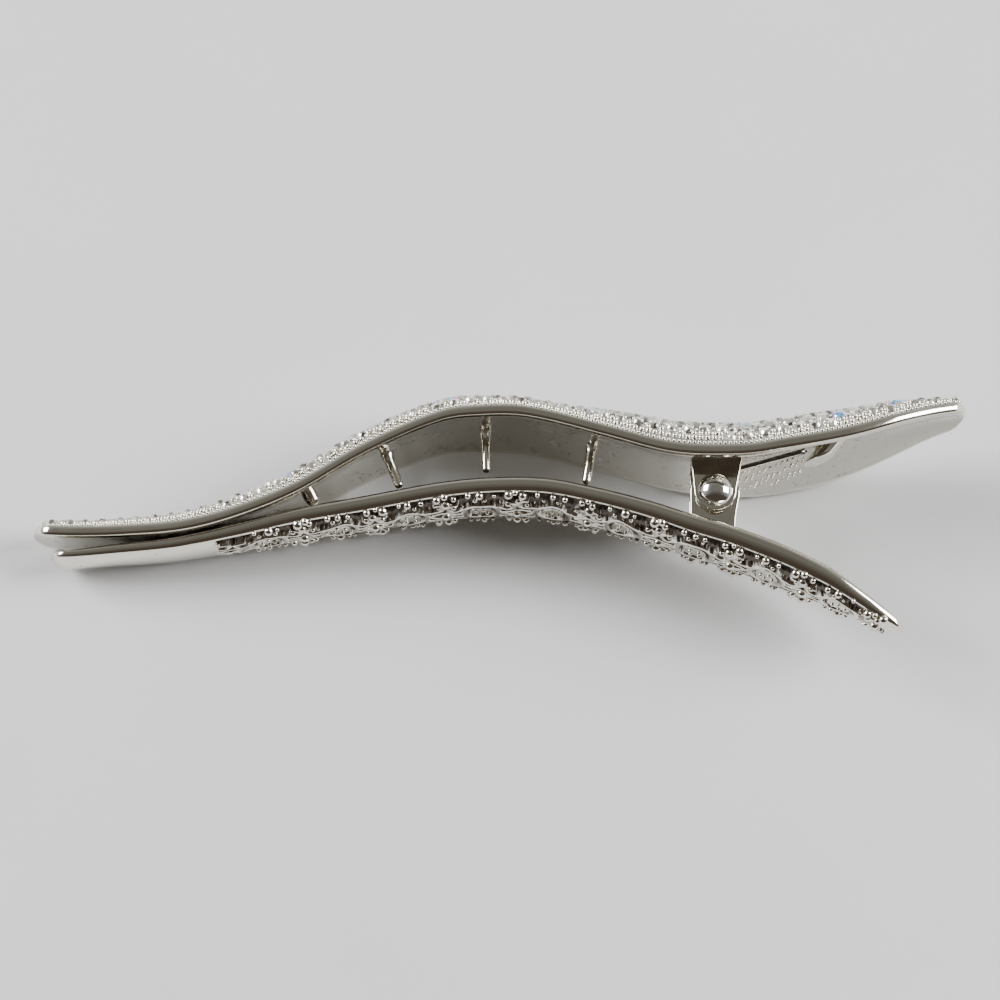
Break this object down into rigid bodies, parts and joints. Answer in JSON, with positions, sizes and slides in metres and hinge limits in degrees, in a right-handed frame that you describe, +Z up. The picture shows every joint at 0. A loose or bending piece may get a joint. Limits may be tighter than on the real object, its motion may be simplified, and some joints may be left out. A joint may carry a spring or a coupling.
{
  "type": "hair clip",
  "caption": "Long wavy spring-loaded hair clip: stone-set upper jaw with holding pins, ornamented lower jaw, riveted hinge with torsion spring, finger tails",
  "frame": {"origin": "on the table under the middle of the clip's bounding box, the clip lying on its side as it rests by itself", "axes": "+X from the hair tip to the finger tails, +Y from the plain jaw to the stone-set jaw, +Z up from the table; the hinge axis leans about 5 degrees from +Z"},
  "size_m": [0.115, 0.0298, 0.02],
  "materials": {
    "plated_casting": "bright nickel-colour plating over a zinc casting, polished rims, fine casting pits inside",
    "polished_rivet": "mirror-polished plated rivet",
    "spring_wire": "drawn spring wire, lightly plated",
    "clear_stone": "foil-backed clear cut glass",
    "iridescent_stone": "foil-backed cut glass with an iridescent coating"
  },
  "bodies": {
    "upper": {"upper_jaw": "plated_casting", "hinge_rivet": "polished_rivet", "torsion_spring": "spring_wire", "crest_stones": "clear_stone", "field_stones": "clear_stone", "border_stones": "clear_stone", "iridescent_stones": "iridescent_stone"},
    "lower": {"lower_jaw": "plated_casting"}
  },
  "joints": [
    {"name": "jaw_hinge", "type": "hinge", "parent": "upper", "child": "lower", "pos_m": [0.02644, 0.0021, 0.00918], "axis": [-0.063, -0.0643, 0.9959], "range_deg": [0, 45], "stiffness_Nm_per_rad": 0.2, "springref_deg": -45.84, "deforming": ["torsion_spring"]}
  ]
}
